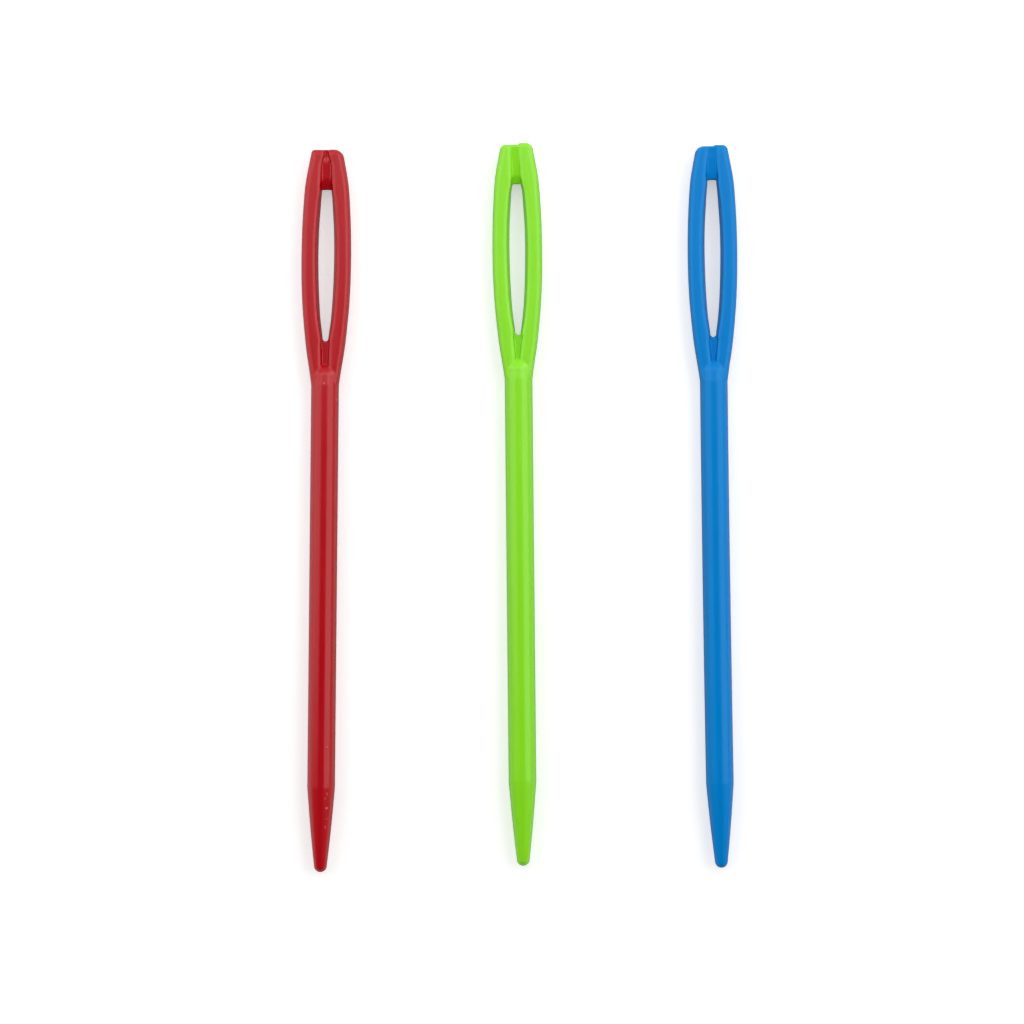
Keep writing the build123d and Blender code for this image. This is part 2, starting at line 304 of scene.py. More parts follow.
class NeedleForm:
    """The form of one needle: its height above the parting plane over every point of its outline.
    Lengths are in millimetres. A round is the reach within which two surfaces blend."""

    # The step in the head end, and the band along the outline that holds the mould seam
    STEP_FROM_MIDDLE = 0.3
    STEP_SOFTNESS = 0.07
    SEAM_ZONE = 0.1

    # The gate mark: its middle, its radius, and how it is narrowed across and drawn out along
    GATE_ACROSS = -0.08
    GATE_FROM_END = 0.75
    GATE_RADIUS = 0.42
    GATE_NARROWED = 1.3
    GATE_DRAWN_OUT = 0.55

    # How steep the walls are, as rise over run: the eye's ends, and the two channels' sides
    END_WALL = 7.0
    UPPER_WALL = 1.4
    LOWER_WALL = 2.0

    # How strongly the eye's top and bottom curve, per millimetre
    TOP_CURVE = 0.15
    BOTTOM_CURVE = 2.2

    # How far inside and outside the eye's ends its edges, its bevel and its walls give way to the
    # channels', and how far from the middle the channels' left edges give way to their right ones
    EDGE_INSIDE = 0.9
    EDGE_OUTSIDE = 0.7
    BEVEL_INSIDE = 1.2
    BEVEL_OUTSIDE = 0.6
    WALL_OUTSIDE = 1.0
    MIDDLE_BLEND = 0.15

    # Rounds. The wall's foot gets more of it towards the neck, from this far inside the eye's bottom
    # on, and the nose has its full round from this far past the neck.
    FLOOR_ROUND = 0.04
    LOWER_FLOOR_ROUND = 0.1
    BEVEL_ROUND = 0.08
    FOOT_ROUND = 0.05
    MORE_AT_LOWER_FOOT = 0.04
    LOWER_FOOT_INSIDE = 1.0
    CONE_ROUND = 0.12
    RIM_ROUND = 0.05
    LEAST_ROUND = 0.001
    NOSE_ROUND = 0.36
    NOSE_ROUND_WITHIN = 1.5

    # The rails' crown: the least half width of a rail, and the most that its drop may be, in crowns
    LEAST_HALF_RAIL = 0.2
    CROWN_LIMIT = 1.5

    # The centre that the rows of the head's corner fan out from, the longest such row, how their
    # starts bunch up, and how far the fans at the eye's ends reach past them
    CORNER_ACROSS = 0.8
    CORNER_ALONG = 1.7
    LONGEST_CORNER_ROW = 4.0
    CORNER_BUNCHING = 1.7
    FAN = 0.4

    # Numbers of rows of each stretch of the skin, whose first row is the last one of the stretch
    # before it, and numbers of points that the eye's outline is found at
    CORNER_ROWS = 34
    BRIDGE_ROWS = 34
    EYE_ROWS = 150
    WEB_ROWS = 90
    SHAFT_ROWS = 56
    BEND_ROWS = 13
    POINT_ROWS = 30
    TIP_ROWS = 24
    END_POINTS = 40
    SIDE_POINTS = 600

    # Paces of the rows at the start and the end of a stretch
    BRIDGE_PACES = (0.8, 0.8)
    EYE_PACES = (0.35, 0.35)
    WEB_PACES = (0.9, 0.9)
    SHAFT_PACES = (0.15, 0.6)

    # Where the eye's outline is looked for: how far out in half eye widths, how far inside the eye's
    # top and bottom its side begins, and from how far past the eye to how far within its side the
    # ends are looked for
    OUTSIDE_EYE = 1.5
    TOP_INSIDE = 0.25
    BOTTOM_INSIDE = 0.2
    PAST_END = 0.3
    WITHIN_SIDE = 0.1

    # How far past the neck the web's rows run, and half the zone of fine rows where the point starts
    PAST_NECK = 0.4
    HALF_BEND = 0.4

    # Numbers of columns of the skin: to the wall's foot, its top, the bevel's top, the start of the
    # outer edge, along its round, and down the outer wall. Then which of these lie along the round.
    COLUMNS = (6, 6, 4, 10, 9, 5)
    EDGE_COLUMNS = 4
    # Where the foot is on a row that starts at the middle, as a share of the way to the wall's top,
    # the most of a row that the inner columns take, and the most of its rest that the outer ones take
    FOOT_SHARE = 0.82
    INNER_LIMITS = (0.36, 0.46, 0.64)
    OUTER_LIMITS = (0.7, 0.2)
    # How far off the middle the channels' edges are asked for, and the shortest run of a row
    BESIDE_MIDDLE = 0.5
    SHORTEST_RUN = 1e-6
    # From how far below the eye to how far past the neck the head's columns give way to the shaft's
    SHAFT_COLUMNS_FROM_EYE = 1.4
    SHAFT_COLUMNS_FROM_NECK = 0.6

    def __init__(self, sizes, cavity, name):
        for group in (sizes, cavity):
            for field, kind in group.bl_rna.properties.items():
                if kind.type == "FLOAT" and not kind.is_array:
                    value = getattr(group, field)
                    setattr(self, field, value / MM if kind.unit == "LENGTH" else value)
        self.half_thickness = self.head_thickness / 2
        self.radius = self.shaft_diameter / 2
        self.head_end = self.needle_length / 2
        self.tip = -self.needle_length / 2
        self.eye_bottom = self.head_end - self.bridge_length - self.eye_length
        self.eye_top = self.head_end - self.bridge_length + self.eye_run_on
        self.neck = self.eye_bottom - self.web_length
        self.nose_end = self.neck + self.nose_from_neck
        self.nose_start = self.nose_end - self.nose_length
        self.point_start = self.tip + self.point_length
        self.tip_centre = self.tip + self.tip_radius
        along = self.point_start - self.tip_centre
        self.tip_turn = pi - atan2(self.radius, along) - acos(self.tip_radius / hypot(self.radius, along))
        self.tip_edge = self.tip_centre - self.tip_radius * cos(self.tip_turn)
        self.wall_rise = pi / 2 - self.wall_draft
        run = self.edge_round + cos(self.wall_rise) * (self.half_thickness - self.edge_round)
        self.edge_run = run / sin(self.wall_rise)
        self.upper_edges = UPPER_EDGES[name]
        self.lower_edges = LOWER_EDGES[name]

    def half_width(self, y):
        """Half the needle's width at a station: the tip's circle, the point's bowed cone, the straight
        shaft, and the head's flank from its table."""
        tip_part = np.sqrt(np.maximum(self.tip_radius**2 - (y - self.tip_centre) ** 2, 0))
        up = np.clip((y - self.tip_edge) / (self.point_start - self.tip_edge), 0, 1)
        start = self.tip_radius * sin(self.tip_turn)
        point = start + (self.radius - start) * up + self.point_bulge * 4 * up * (1 - up)
        way = (y - self.neck) / (self.head_end - self.neck)
        head = curve_through(way, FLANK[:, 0], FLANK[:, 1]) * self.head_width / 2
        return np.where(y < self.tip_edge, tip_part, np.where(y < self.neck, point, head))

    def shaft_half(self, y):
        """The round shaft's radius at a station: past the neck it tapers to the nose, whose end is
        a quarter of an ellipse."""
        bare = self.half_width(np.minimum(y, self.neck)) - self.seam_width
        slim = self.nose_taper * np.clip((y - self.neck) / (self.nose_start - self.neck), 0, 1)
        u = np.clip((y - self.nose_start) / self.nose_length, 0, 1)
        return (bare - slim) * np.sqrt(1 - u**2)

    def end_line(self, x):
        """Where the head ends: the left half stops short up to a soft step right of the middle."""
        step = smooth_step(-self.STEP_SOFTNESS, self.STEP_SOFTNESS, x - self.STEP_FROM_MIDDLE)
        return self.head_end - self.left_short * (1 - step)

    def inset(self, x, y):
        """Distance inwards from the outline: from the flank, whose slope counts up to 1 in 1, and from
        the head end, with the corner between them rounded to its radius."""
        h = 0.01
        slope = (self.half_width(y + h) - self.half_width(y - h)) / (2 * h)
        flank = (self.half_width(y) - np.abs(x)) / np.sqrt(1 + np.minimum(slope**2, 1))
        end = self.end_line(x) - y
        corner = np.where(x < 0, self.left_corner, self.right_corner)
        near = (flank < corner) & (end < corner)
        rounded = corner - np.hypot(corner - flank, corner - end)
        return np.where(near, rounded, np.minimum(flank, end))

    def eye_share(self, y):
        """Share of the way up the eye, which goes past 1 where the eye runs on."""
        return np.clip((y - self.eye_bottom) / self.eye_length, 0, EYE_SIDE[-1, 0])

    def channel_edge(self, x, y):
        """Distance from the needle's middle to the top of the drafted wall: along the eye its side
        plus the wall's reach, above and below it the channels' edges, blended from one to the next."""
        way = self.eye_share(y)
        side = curve_through(way, EYE_SIDE[:, 0], EYE_SIDE[:, 1]) * self.eye_width / 2
        wall = curve_through(way, EYE_WALL[:, 0], EYE_WALL[:, 1])
        right = smooth_step(-self.MIDDLE_BLEND, self.MIDDLE_BLEND, x)
        above = smooth_step(self.eye_top - self.EDGE_INSIDE, self.eye_top + self.EDGE_OUTSIDE, y)
        below = smooth_step(self.eye_bottom + self.EDGE_INSIDE, self.eye_bottom - self.EDGE_OUTSIDE, y)
        edge = side + wall
        for table, at, share_in in (
            (self.upper_edges, y - self.head_end, above), (self.lower_edges, self.eye_bottom - y, below),
        ):
            left_edge, right_edge = (curve_through(at, table[:, 0], table[:, c]) for c in (1, 2))
            edge = edge + (left_edge + (right_edge - left_edge) * right - edge) * share_in
        return edge

    def bevel(self, y):
        """Depth of the soft bevel at a station: full along the eye, less along the channels."""
        bottom = smooth_step(self.eye_bottom - self.BEVEL_OUTSIDE, self.eye_bottom + self.BEVEL_INSIDE, y)
        top = smooth_step(self.eye_top + self.BEVEL_OUTSIDE, self.eye_top - self.BEVEL_INSIDE, y)
        return self.channel_bevel + (self.eye_bevel - self.channel_bevel) * (bottom * top)

    def brow(self, x, y):
        """Distance from the needle's middle to where the bevel reaches the rail's top: the wall's top
        plus the bevel's depth over its slope."""
        return self.channel_edge(x, y) + self.bevel(y) / tan(self.bevel_angle)

    def wall_slope(self, y):
        """How steeply the drafted wall rises: along the eye from the parting plane to the bevel."""
        reach = curve_through(self.eye_share(y), EYE_WALL[:, 0], EYE_WALL[:, 1])
        in_eye = (self.half_thickness - self.bevel(y)) / reach
        above = smooth_step(self.eye_top, self.eye_top + self.WALL_OUTSIDE, y)
        below = smooth_step(self.eye_bottom, self.eye_bottom - self.WALL_OUTSIDE, y)
        return in_eye + (self.UPPER_WALL - in_eye) * above + (self.LOWER_WALL - in_eye) * below

    def floor(self, x, y):
        """Height of the channels' floors. From the eye's rounded end a steep wall goes up, then a
        slope, then a floor that gets shallower towards the head end. Towards the neck the steep wall
        meets a floor that gets a little deeper on its way."""
        past = y - self.eye_top + self.TOP_CURVE * x**2
        level = self.half_thickness - self.channel_depth
        rise = self.end_rise / (self.head_end - self.eye_top - self.slope_length)
        slope = level + (past - self.slope_length) * tan(self.slope_angle)
        upper = soft_min(slope, level + (past - self.slope_length) * rise, self.FLOOR_ROUND)
        upper = soft_min(past * self.END_WALL, upper, self.FLOOR_ROUND)
        below = self.eye_bottom - y + self.BOTTOM_CURVE * x**2
        level = self.half_thickness - self.lower_channel_depth
        fall = self.lower_channel_fall / (self.eye_bottom - self.nose_end)
        lower = soft_min(below * self.END_WALL, level - below * fall, self.LOWER_FLOOR_ROUND)
        return np.maximum(upper, lower)

    def inner(self, x, y):
        """Height of the eye's walls, the bevel and the channels. The gate mark is sunk into the floor
        by its depth times e to the power of minus g to the fourth, with g the distance in radii."""
        beyond = np.abs(x) - self.channel_edge(x, y)
        shoulder = self.half_thickness - self.bevel(y)
        wall = soft_min(
            shoulder + beyond * self.wall_slope(y),
            shoulder + beyond * tan(self.bevel_angle),
            self.BEVEL_ROUND,
        )
        gate_x = (x - self.GATE_ACROSS) * self.GATE_NARROWED
        gate_y = (y - self.head_end + self.GATE_FROM_END) * self.GATE_DRAWN_OUT
        gate = np.hypot(gate_x, gate_y) / self.GATE_RADIUS
        floor = self.floor(x, y) - self.gate_depth * np.exp(-gate**4)
        lower = smooth_step(self.eye_bottom + self.LOWER_FOOT_INSIDE, self.eye_bottom, y)
        return soft_max(floor, wall, self.FOOT_ROUND + self.MORE_AT_LOWER_FOOT * lower)

    def blade(self, x, y):
        """Height of the flat head: a wall with draft, a round edge, and a top with a slight crown."""
        r = self.edge_round
        tangent = self.edge_run - r * sin(self.wall_rise)
        d = np.clip(self.inset(x, y) - self.seam_width, 0, None)
        arc = self.half_thickness - r + np.sqrt(np.maximum(r**2 - np.maximum(self.edge_run - d, 0) ** 2, 0))
        profile = np.where(d < self.edge_run, arc, self.half_thickness)
        profile = np.where(d < tangent, d * tan(self.wall_rise), profile)
        inner_edge = self.brow(x, y)
        outer_edge = self.half_width(y) - self.edge_run
        half = np.maximum((outer_edge - inner_edge) / 2, self.LEAST_HALF_RAIL)
        off = (np.abs(x) - (outer_edge + inner_edge) / 2) / half
        drop = self.crown * np.minimum(off**2, self.CROWN_LIMIT)
        return profile - drop * profile / self.half_thickness

    def height(self, x, y):
        """Height above the parting plane: the head, cut by the neck's cone and by the eye and its
        channels, joined with the round shaft, and at least the mould seam's height at the outline."""
        clear = hypot(self.head_width / 2, self.half_thickness)
        flare = self.radius + (y - self.neck) / self.flare_length * (clear - self.radius)
        cone = np.sqrt(np.maximum(np.maximum(flare, self.radius) ** 2 - x**2, 0))
        head = soft_min(self.blade(x, y), cone, self.CONE_ROUND)
        head = soft_min(head, self.inner(x, y), self.RIM_ROUND)
        head = np.where(y < self.neck, -1, head)
        shaft = np.sqrt(np.maximum(self.shaft_half(y) ** 2 - x**2, 0))
        shaft = np.where(y > self.nose_end, -1, shaft)
        past_neck = smooth_step(self.neck, self.neck + self.NOSE_ROUND_WITHIN, y)
        body = soft_max(head, shaft, self.LEAST_ROUND + self.NOSE_ROUND * past_neck)
        inset = self.inset(x, y)
        seam = self.seam_height * np.clip(inset / self.seam_width, 0, 1)
        return np.maximum(body, np.where(inset < self.SEAM_ZONE, seam, 0))

    def eye_outline(self, side):
        """The eye's outline on one side, from its top over the side to its bottom, where the inner
        height is 0. It is found across for points on the side, and along for points on the ends."""
        outside = self.eye_width / 2 * self.OUTSIDE_EYE

        def across(y):
            zeros = np.zeros(np.shape(y))
            return crossing(lambda x: -self.inner(side * x, y), zeros, zeros + outside)

        def along(x, past_end, within):
            ends = np.full(len(x), past_end), np.full(len(x), within)
            return crossing(lambda y: self.inner(side * x, y), *ends)

        share_in = np.linspace(0, 1, self.END_POINTS)
        probe = self.eye_top - self.TOP_INSIDE
        top_x = across(probe) * share_in
        top_y = along(top_x, self.eye_top + self.PAST_END, probe - self.WITHIN_SIDE)
        probe = self.eye_bottom + self.BOTTOM_INSIDE
        bottom_x = across(probe) * share_in[::-1]
        bottom_y = along(bottom_x, self.eye_bottom - self.PAST_END, probe + self.WITHIN_SIDE)
        side_y = np.linspace(top_y[-1], bottom_y[0], self.SIDE_POINTS + 2)[1:-1]
        x = side * np.concatenate((top_x, across(side_y), bottom_x))
        return x, np.concatenate((top_y, side_y, bottom_y))

    def rows(self, side):
        """Where each row of the skin begins, at the middle or at the eye, and where it ends, at the
        outline. The first rows fan round the head's corner, those along the eye start on the eye's
        outline at even steps, and the last ones close in on the tip."""
        across, along = side * self.CORNER_ACROSS, self.head_end - self.CORNER_ALONG
        count = self.CORNER_ROWS
        turn = np.linspace(pi / 2, 0, count)
        reach = crossing(
            lambda r: self.inset(across + side * r * np.cos(turn), along + r * np.sin(turn)),
            np.zeros(count), np.full(count, self.LONGEST_CORNER_ROW),
        )
        corner_x, corner_y = across + side * reach * np.cos(turn), along + reach * np.sin(turn)
        bunched = np.linspace(0, 1, count) ** self.CORNER_BUNCHING
        corner_start = self.end_line(0.0) - self.CORNER_ALONG * bunched

        fan_top, fan_bottom = self.eye_top + self.FAN, self.eye_bottom - self.FAN
        bridge = eased(along, fan_top, self.BRIDGE_ROWS, *self.BRIDGE_PACES)[1:]
        bridge_start = np.interp(-bridge, (-along, -fan_top), (corner_start[-1], self.eye_top))

        eye = eased(fan_top, fan_bottom, self.EYE_ROWS, *self.EYE_PACES)[1:]
        eye_x, eye_y = self.eye_outline(side)
        run = np.concatenate(([0], np.cumsum(np.hypot(np.diff(eye_x), np.diff(eye_y)))))
        at = (fan_top - eye) / (fan_top - fan_bottom) * run[-1]
        eye_x, eye_y = np.interp(at, run, eye_x), np.interp(at, run, eye_y)

        low = self.neck - self.PAST_NECK
        web = eased(fan_bottom, low, self.WEB_ROWS, *self.WEB_PACES)[1:]
        web_start = np.interp(-web, (-fan_bottom, -low), (self.eye_bottom, low))

        bend_top, bend_bottom = self.point_start + self.HALF_BEND, self.point_start - self.HALF_BEND
        shaft = np.concatenate((
            eased(low, bend_top, self.SHAFT_ROWS, *self.SHAFT_PACES)[1:],
            np.linspace(bend_top, bend_bottom, self.BEND_ROWS)[1:],
            eased(bend_bottom, self.tip_edge, self.POINT_ROWS)[1:],
        ))
        tip_turn = np.linspace(self.tip_turn, 0, self.TIP_ROWS)[1:]
        tip_y = self.tip_centre - self.tip_radius * np.cos(tip_turn)
        tip_x = self.tip_radius * np.sin(tip_turn)

        straight = np.concatenate((bridge, eye, web, shaft))
        end_y = np.concatenate((corner_y, straight, tip_y))
        end_x = np.concatenate((corner_x, side * self.half_width(straight), side * tip_x))
        start_y = np.concatenate((corner_start, bridge_start, eye_y, web_start, shaft, tip_y))
        start_x = np.zeros(len(start_y))
        first = len(corner_y) + len(bridge)
        start_x[first:first + len(eye)] = eye_x
        corner_share = np.concatenate((np.linspace(1, 0, count), np.zeros(len(start_y) - count)))
        return start_x, start_y, end_x, end_y, corner_share

    def columns(self, side, start_x, end_x, end_y, span):
        """Each row's places as shares of its run. Along the head they gather at the channel's wall and
        bevel and at the outer edge, along the shaft they are the sines of even angles."""
        level = self.edge_run + self.seam_width
        tangent = level - self.edge_round * sin(self.wall_rise)
        beside_middle = side * self.BESIDE_MIDDLE
        edge = self.channel_edge(beside_middle, end_y)
        begin = np.abs(start_x)
        foot = np.where(begin > 0, (begin + edge) / 2, edge * self.FOOT_SHARE)
        width = np.maximum(np.abs(end_x) - begin, self.SHORTEST_RUN)
        inner = [
            np.minimum((place - begin) / width, limit)
            for place, limit in zip((foot, edge, self.brow(beside_middle, end_y)), self.INNER_LIMITS)
        ]
        room = 1 - inner[-1]
        outer = [
            1 - np.minimum(reach / span, limit * room)
            for reach, limit in zip((level, tangent), self.OUTER_LIMITS)
        ]
        knots = [np.zeros(len(end_x)), *inner, *outer, np.ones(len(end_x))]
        shares = [np.linspace(0, 1, count, endpoint=False) for count in self.COLUMNS]
        arc = self.wall_rise * shares[self.EDGE_COLUMNS]
        shares[self.EDGE_COLUMNS] = np.sin(arc) / sin(self.wall_rise)
        parts = [
            low[:, None] + (high - low)[:, None] * s
            for low, high, s in zip(knots[:-1], knots[1:], shares)
        ]
        head = np.concatenate([*parts, np.ones((len(end_x), 1))], axis=1)
        shaft = np.sin(np.linspace(0, pi / 2, sum(self.COLUMNS) + 1))
        to_shaft = smooth_step(
            self.eye_bottom - self.SHAFT_COLUMNS_FROM_EYE, self.neck + self.SHAFT_COLUMNS_FROM_NECK, end_y
        )
        return head + (shaft - head) * to_shaft[:, None]

    def grid(self, side):
        """Places of one quarter of the skin: straight runs from each row's start to its end, bent to
        the step in the head end near that end, and lifted to the height there."""
        start_x, start_y, end_x, end_y, corner_share = self.rows(side)
        span = np.maximum(np.hypot(end_x - start_x, end_y - start_y), self.SHORTEST_RUN)
        s = self.columns(side, start_x, end_x, end_y, span)
        x = start_x[:, None] + (end_x - start_x)[:, None] * s
        y = start_y[:, None] + (end_y - start_y)[:, None] * s
        chord_ends = self.end_line(0.0), self.end_line(side * self.CORNER_ACROSS)
        from_chord = self.end_line(x) - np.interp(side * x, (0, self.CORNER_ACROSS), chord_ends)
        y = y + from_chord * corner_share[:, None] ** 2
        z = self.height(x, y)
        on_edge = np.zeros(z.shape, bool)
        on_edge[0], on_edge[-1], on_edge[:, -1] = True, True, True
        on_edge[:, 0] = np.abs(start_x) > 0
        return x, y, np.where(on_edge, 0, z)

    def skin(self):
        """Vertices and faces of the whole skin: two sides, each with its upper and lower half. The
        middle bows to the left by a parabola, and the needle is turned and moved to its place."""
        places, faces, offset = [], [], 0
        for side in (-1, 1):
            x, y, z = self.grid(side)
            rows, columns = x.shape
            index = np.arange(rows * columns).reshape(rows, columns)
            corners = (index[:-1, :-1], index[1:, :-1], index[1:, 1:], index[:-1, 1:])
            quads = np.stack(corners, axis=-1).reshape(-1, 4)
            for half in (-1, 1):
                places.append(np.stack((x, y, half * z), axis=-1).reshape(-1, 3))
                faces.append((quads if side * half > 0 else quads[:, ::-1]) + offset)
                offset += rows * columns
        x, y, z = np.concatenate(places).T
        x = x - self.bow * (1 - (y / self.head_end) ** 2)
        turned = np.stack((
            self.across + x * cos(self.turn) - y * sin(self.turn),
            self.along + x * sin(self.turn) + y * cos(self.turn),
            self.radius + z,
        ), axis=-1)
        return turned * MM, np.concatenate(faces)


# Vertices nearer than this are one, and edges shorter than this are none, in metres
MERGE = 2e-7
SHORTEST = 1e-8


def closed_mesh(name, places, faces):
    """A mesh object from places and faces, with its doubles merged and its faces turned outwards."""
    mesh = bpy.data.meshes.new(name)
    mesh.from_pydata(places.tolist(), [], faces.tolist())
    built = bmesh.new()
    built.from_mesh(mesh)
    bmesh.ops.remove_doubles(built, verts=built.verts, dist=MERGE)
    bmesh.ops.dissolve_degenerate(built, edges=built.edges, dist=SHORTEST)
    bmesh.ops.recalc_face_normals(built, faces=built.faces)
    built.to_mesh(mesh)
    built.free()
    mesh.polygons.foreach_set("use_smooth", np.ones(len(mesh.polygons), bool))
    mesh.update()
    piece = bpy.data.objects.new(name, mesh)
    bpy.context.scene.collection.objects.link(piece)
    return piece


# Materials

class Signal:
    """A shader socket that takes part in sums and products, each of which adds a Math node."""

    def __init__(self, shading, socket):
        self.shading, self.socket = shading, socket

    def combined(self, operation, first, second):
        """The result of a Math node on two values."""
        return self.shading.node("ShaderNodeMath", {"operation": operation}, {0: first, 1: second}).out()

    def __add__(self, other):
        return self.combined("ADD", self, other)

    def __sub__(self, other):
        return self.combined("SUBTRACT", self, other)

    def __rsub__(self, other):
        return self.combined("SUBTRACT", other, self)

    def __mul__(self, other):
        return self.combined("MULTIPLY", self, other)

    def __truediv__(self, other):
        return self.combined("DIVIDE", self, other)

    def __rtruediv__(self, other):
        return self.combined("DIVIDE", other, self)

    __radd__ = __add__
    __rmul__ = __mul__

    def __abs__(self):
        return self.shading.node("ShaderNodeMath", {"operation": "ABSOLUTE"}, {0: self}).out()

    def clamped(self):
        """The value, held between 0 and 1."""
        return self.shading.node(
            "ShaderNodeMath", {"operation": "ADD", "use_clamp": True}, {0: self, 1: 0.0}
        ).out()


class Made:
    """A node that was made, with its outputs as signals."""

    def __init__(self, shading, node):
        self.shading, self.node = shading, node

    def out(self, name=0):
        """One output, by its name or its place in the row."""
        return Signal(self.shading, self.node.outputs[name])


class Shading:
    """The nodes of one material or world."""

    def __init__(self, tree):
        self.tree = tree
        tree.nodes.clear()

    def node(self, kind, settings=None, inputs=None):
        """A node of a kind, with its settings set first and then its sockets' values or links."""
        made = self.tree.nodes.new(kind)
        for name, value in (settings or {}).items():
            setattr(made, name, value)
        for name, value in (inputs or {}).items():
            if isinstance(value, Signal):
                self.tree.links.new(value.socket, made.inputs[name])
            else:
                made.inputs[name].default_value = value
        return Made(self, made)

    def mixed(self, share_in, first, second):
        """A colour between two, by a share."""
        return self.node(
            "ShaderNodeMix",
            {"data_type": "RGBA", "clamp_factor": True},
            {"Factor": share_in, 6: first, 7: second},
        ).out(2)

    def ranged(self, value, start, end):
        """0 where a value is at the start or before it, 1 at the end, and smooth in between."""
        return self.node(
            "ShaderNodeMapRange",
            {"interpolation_type": "SMOOTHSTEP"},
            {"Value": value, "From Min": start, "From Max": end},
        ).out()

    def noise(self, place, scale, detail, distortion=0.0):
        """Noise from 0 to 1 at a place."""
        return self.node(
            "ShaderNodeTexNoise",
            {"noise_dimensions": "3D"},
            {"Vector": place, "Scale": scale, "Detail": detail, "Distortion": distortion},
        ).out("Fac")

    def drawn_out(self, place, shrink):
        """A place that is shrunk along the needles, which draws its pattern out along them."""
        return self.node("ShaderNodeMapping", {}, {"Vector": place, "Scale": (1.0, shrink, 1.0)}).out()

    def finished(self, kind, shader):
        """Feeds the shader to the output node of a kind."""
        self.node(kind, {}, {"Surface": shader})


def opaque(rgb):
    """A colour with full alpha."""
    return (*rgb, 1.0)


WHITE = opaque((1.0, 1.0, 1.0))

# The plastic's marks: how many to the metre, and how much flow and rub marks are shrunk along
FLOW_SCALE = 420.0
CLOUD_SCALE = 160.0
RUB_SCALE = 5200.0
GRAIN_SCALE = 4200.0
WAVE_SCALE = 900.0
FLOW_SHRINK = 0.12
RUB_SHRINK = 0.02

# Painted highlight: the colour is made lighter by the sideways part of the normal. Painted shade:
# the colour is made deeper by the upright part, which also makes the gloss duller. Each pair is
# where that is none and where it is full.
PAINTED_HIGHLIGHT_LEAN = (0.10, 0.34)
PAINTED_HIGHLIGHT_LEAN_ENDS = (0.76, 0.53)
STEEP = (0.68, 0.1)
PAINTED_SHADE_FACTOR = 0.6

# How much the marks and the slopes change the colour, the relief, the roughness and the dullness;
# what the slopes add to the colour is painted highlight and painted shade
NOISE_MIDDLE = 0.5
FLOW_FROM = 0.35
FLOW_LIGHT, CLOUD_LIGHT, PAINTED_HIGHLIGHT_STRENGTH = 0.5, 0.3, 0.65
GRAIN_RELIEF, RUB_RELIEF, WAVE_RELIEF = 0.35, 0.03, 0.2
ROUGHNESS, CLOUD_ROUGHNESS, RUB_ROUGHNESS = 0.23, 0.12, 0.04
STEEP_PAINTED_SHADE, STEEP_DULLNESS = 0.8, 0.75

# Small light flecks on the red needle, a lighter colour with a little relief: across and along in the set's
# frame, radius, strength
RED_FLECKS = (
    (-24.28, 15.43, 0.13, 0.45), (-22.77, 13.39, 0.10, 0.35), (-23.9, -29.7, 0.12, 0.35),
    (-23.90, -35.48, 0.09, 0.45), (-23.92, -35.66, 0.08, 0.35), (-24.16, -36.10, 0.11, 0.35),
    (-23.98, -37.32, 0.14, 0.90), (-24.01, -38.67, 0.11, 0.30), (-24.16, -39.64, 0.10, 0.50),
    (-24.13, -39.88, 0.09, 0.30),
)
FLECK_COLOUR = (0.95, 0.17, 0.17)
# A fleck fades out over one radius and is gone this many radii from its middle
FLECK_FADE = 1.35
FLECK_RELIEF = 0.8
# Takes the height out of a place
FLAT = (1.0, 1.0, 0.0)

BUMP_STRENGTH = 0.12
BUMP_DISTANCE = 0.00006
PLASTIC_IOR = 1.49
DULL_ROUGHNESS = 0.8


